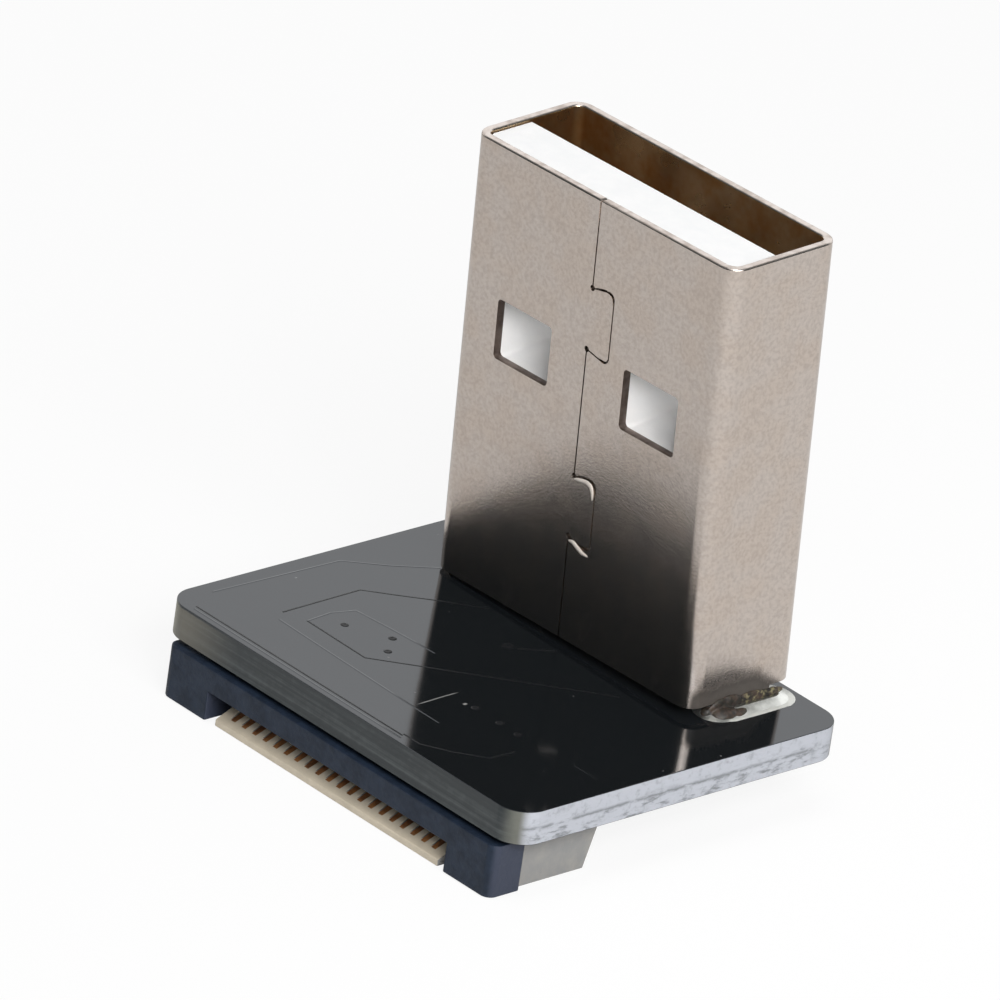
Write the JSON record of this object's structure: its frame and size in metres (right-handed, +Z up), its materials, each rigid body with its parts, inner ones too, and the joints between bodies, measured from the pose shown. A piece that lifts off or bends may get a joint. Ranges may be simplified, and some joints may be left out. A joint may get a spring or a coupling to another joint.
{
  "type": "usb-a plug",
  "caption": "Straight type A plug soldered upright on a small circuit board, with a slide-lock flat-cable connector under the board's front edge.",
  "frame": {"origin": "the plug's axis where it meets the board's top face", "axes": "+X along the plug's width, -Y towards the flat-cable opening, +Z up, out of the plug's mouth"},
  "size_m": [0.0168, 0.014, 0.0189],
  "materials": {
    "board": "glossy black solder mask on glass-fibre laminate with pale routed edges",
    "shell": "satin nickel-plated steel sheet, fine grain",
    "insulator": "white moulded plastic",
    "plug_contact": "gold-plated strip",
    "solder": "tinned, slightly dull",
    "housing": "ivory moulded plastic",
    "slider": "dark blue-grey moulded plastic",
    "cable_contact": "gold-flashed phosphor bronze, slightly brown"
  },
  "bodies": {
    "plug_board": {"circuit_board": "board", "plug_shell": "shell", "plug_insulator": "insulator", "plug_contact_1": "plug_contact", "plug_contact_2": "plug_contact", "plug_contact_3": "plug_contact", "plug_contact_4": "plug_contact", "pin_solder_1": "solder", "pin_solder_2": "solder", "pin_solder_3": "solder", "pin_solder_4": "solder", "leg_solder_left": "solder", "leg_solder_right": "solder", "connector_housing": "housing", "hold_down_left": "solder", "hold_down_right": "solder", "cable_contact_01": "cable_contact", "cable_contact_02": "cable_contact", "cable_contact_03": "cable_contact", "cable_contact_04": "cable_contact", "cable_contact_05": "cable_contact", "cable_contact_06": "cable_contact", "cable_contact_07": "cable_contact", "cable_contact_08": "cable_contact", "cable_contact_09": "cable_contact", "cable_contact_10": "cable_contact", "cable_contact_11": "cable_contact", "cable_contact_12": "cable_contact", "cable_contact_13": "cable_contact", "cable_contact_14": "cable_contact", "cable_contact_15": "cable_contact", "cable_contact_16": "cable_contact", "cable_contact_17": "cable_contact", "cable_contact_18": "cable_contact", "cable_contact_19": "cable_contact", "cable_contact_20": "cable_contact"},
    "cable_slider": {"connector_slider": "slider"}
  },
  "joints": [
    {"name": "slider_travel", "type": "slide", "parent": "plug_board", "child": "cable_slider", "axis": [0, -1, 0], "range_m": [0, 0.001]}
  ]
}
